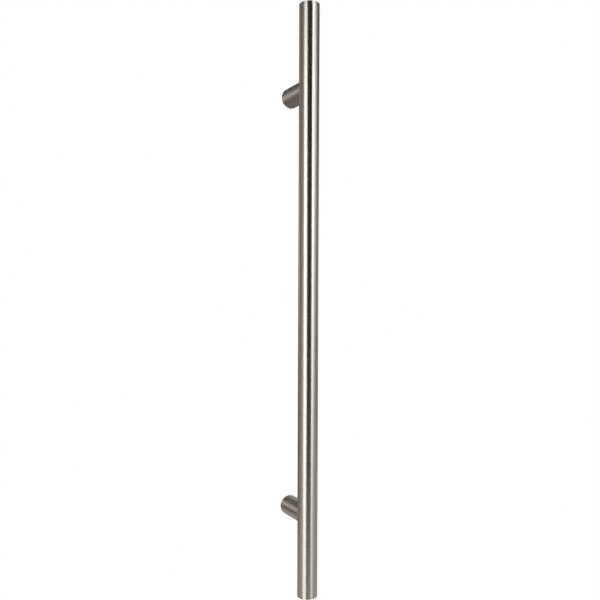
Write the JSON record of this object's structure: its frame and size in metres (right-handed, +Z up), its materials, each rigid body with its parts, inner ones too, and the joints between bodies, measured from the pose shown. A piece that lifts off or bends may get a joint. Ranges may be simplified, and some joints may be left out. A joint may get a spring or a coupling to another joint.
{
  "type": "door pull handle",
  "caption": "Straight round bar pull handle in satin stainless steel, held clear of the door on round posts with concealed fixings.",
  "frame": {"origin": "on the door face, midway between the centres of the two fixing holes", "axes": "+Z up along the bar, +Y from the handle into the door, +X to the right as seen from the front"},
  "size_m": [0.03, 0.075, 0.874],
  "materials": {
    "bar_tube": "satin, brushed round the bar",
    "end_cap": "satin, turned",
    "post": "satin, turned",
    "turned_steel": "plain turned",
    "fastener": "plain machined"
  },
  "bodies": {
    "root": {"grip_tube": "bar_tube", "top_end_cap": "end_cap", "bottom_end_cap": "end_cap", "upper_post": "post", "upper_tube_slug": "turned_steel", "upper_post_screw": "fastener", "upper_spring_washer": "fastener", "upper_mount_bush": "turned_steel", "upper_grub_screw": "fastener", "lower_post": "post", "lower_tube_slug": "turned_steel", "lower_post_screw": "fastener", "lower_spring_washer": "fastener", "lower_mount_bush": "turned_steel", "lower_grub_screw": "fastener"}
  },
  "joints": []
}
